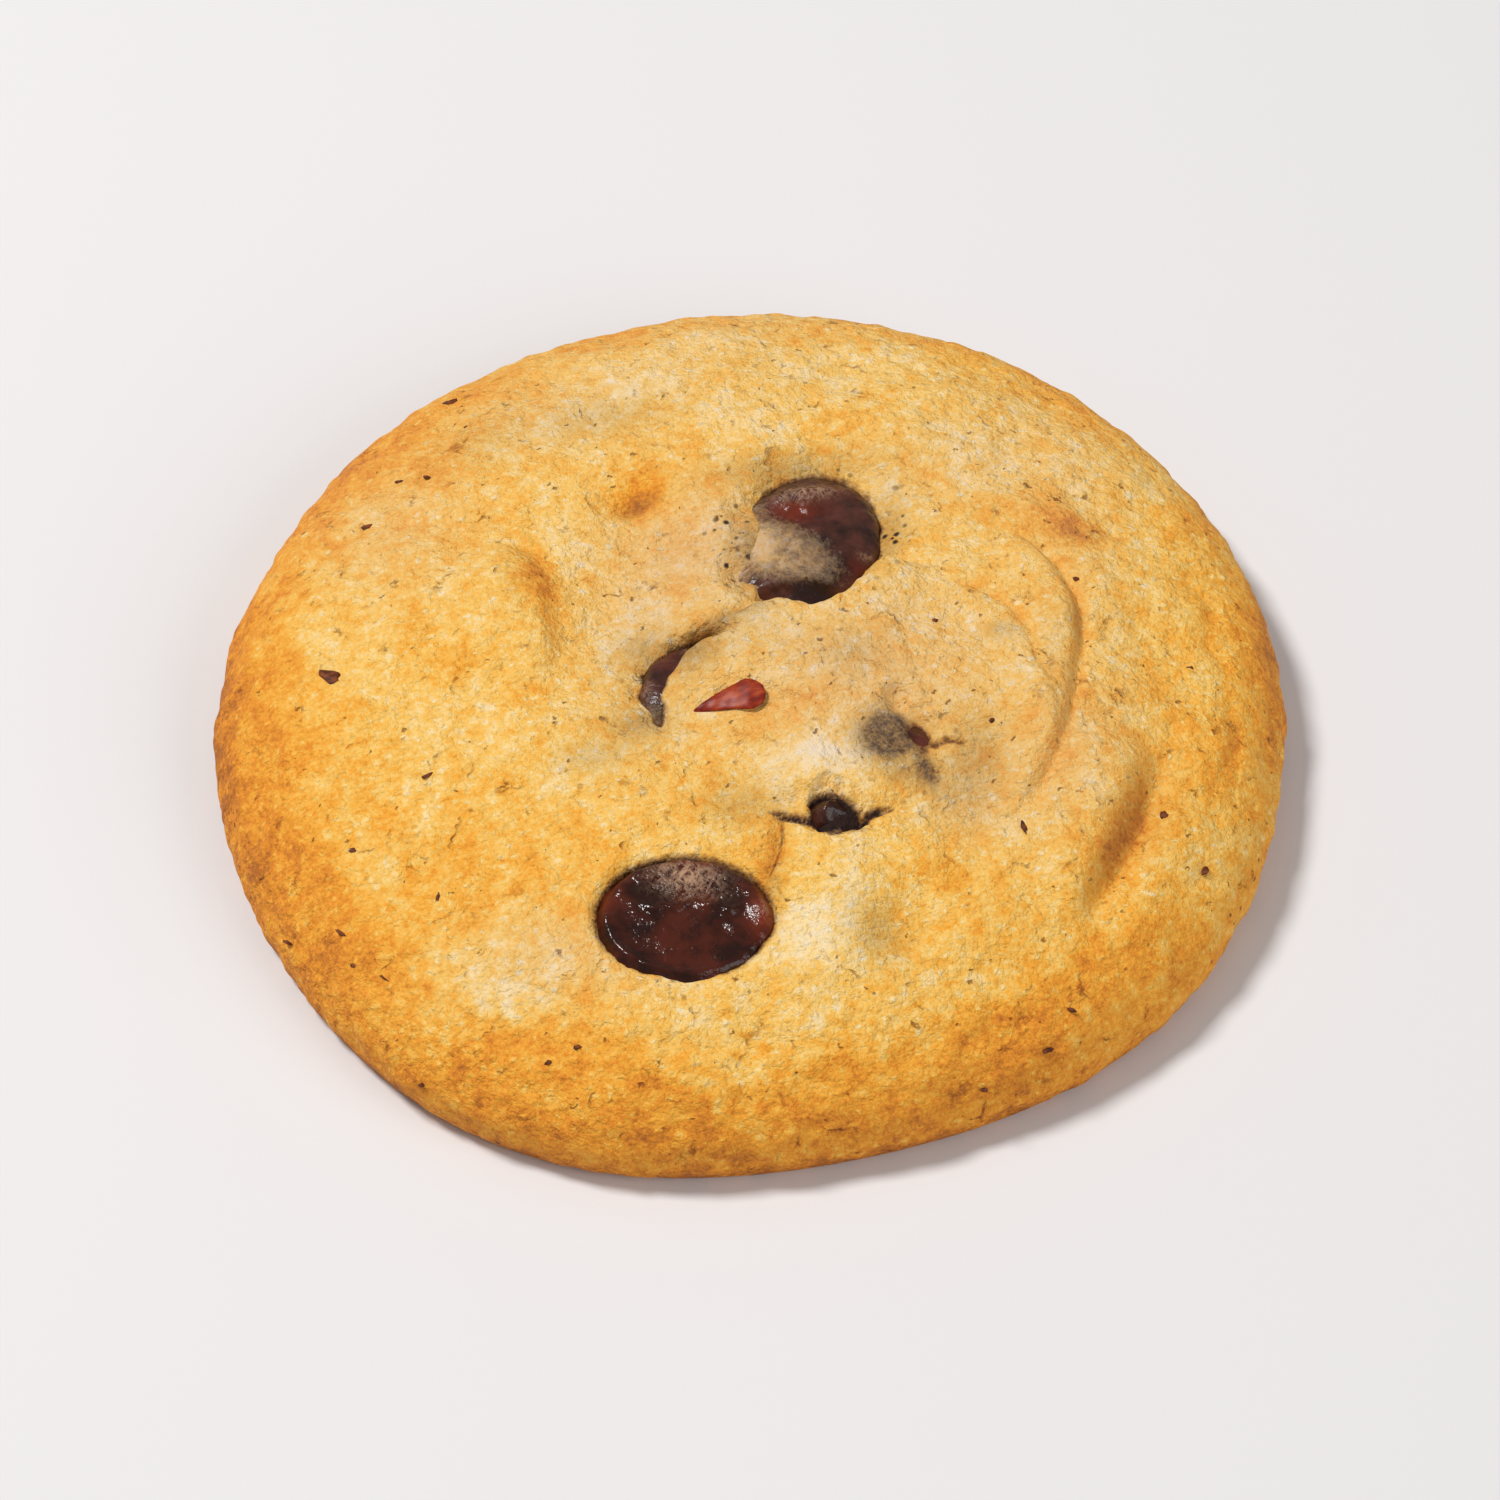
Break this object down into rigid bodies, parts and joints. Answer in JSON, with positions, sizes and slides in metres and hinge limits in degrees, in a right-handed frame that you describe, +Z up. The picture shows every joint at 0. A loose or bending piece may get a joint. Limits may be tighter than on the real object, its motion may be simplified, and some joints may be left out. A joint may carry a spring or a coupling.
{
  "type": "chocolate chip cookie",
  "caption": "Round soft-baked chocolate chip cookie, domed and browned at the rim, with glossy chocolate set into folds of pale dough.",
  "frame": {"origin": "middle of the flat underside", "axes": "+Z up from the underside, +Y towards the back, -Y towards the side with the large chocolate coin"},
  "size_m": [0.0863, 0.0892, 0.0151],
  "materials": {
    "dough": "baked cookie dough, pale gold in the middle and orange-brown at the rim, matt and finely pored",
    "chocolate": "dark melted and set chocolate, half glossy"
  },
  "bodies": {
    "root": {"dough": "dough", "coin": "chocolate", "chip_back": "chocolate", "chip_left": "chocolate", "chip_crack": "chocolate", "chip_veiled": "chocolate"}
  },
  "joints": []
}
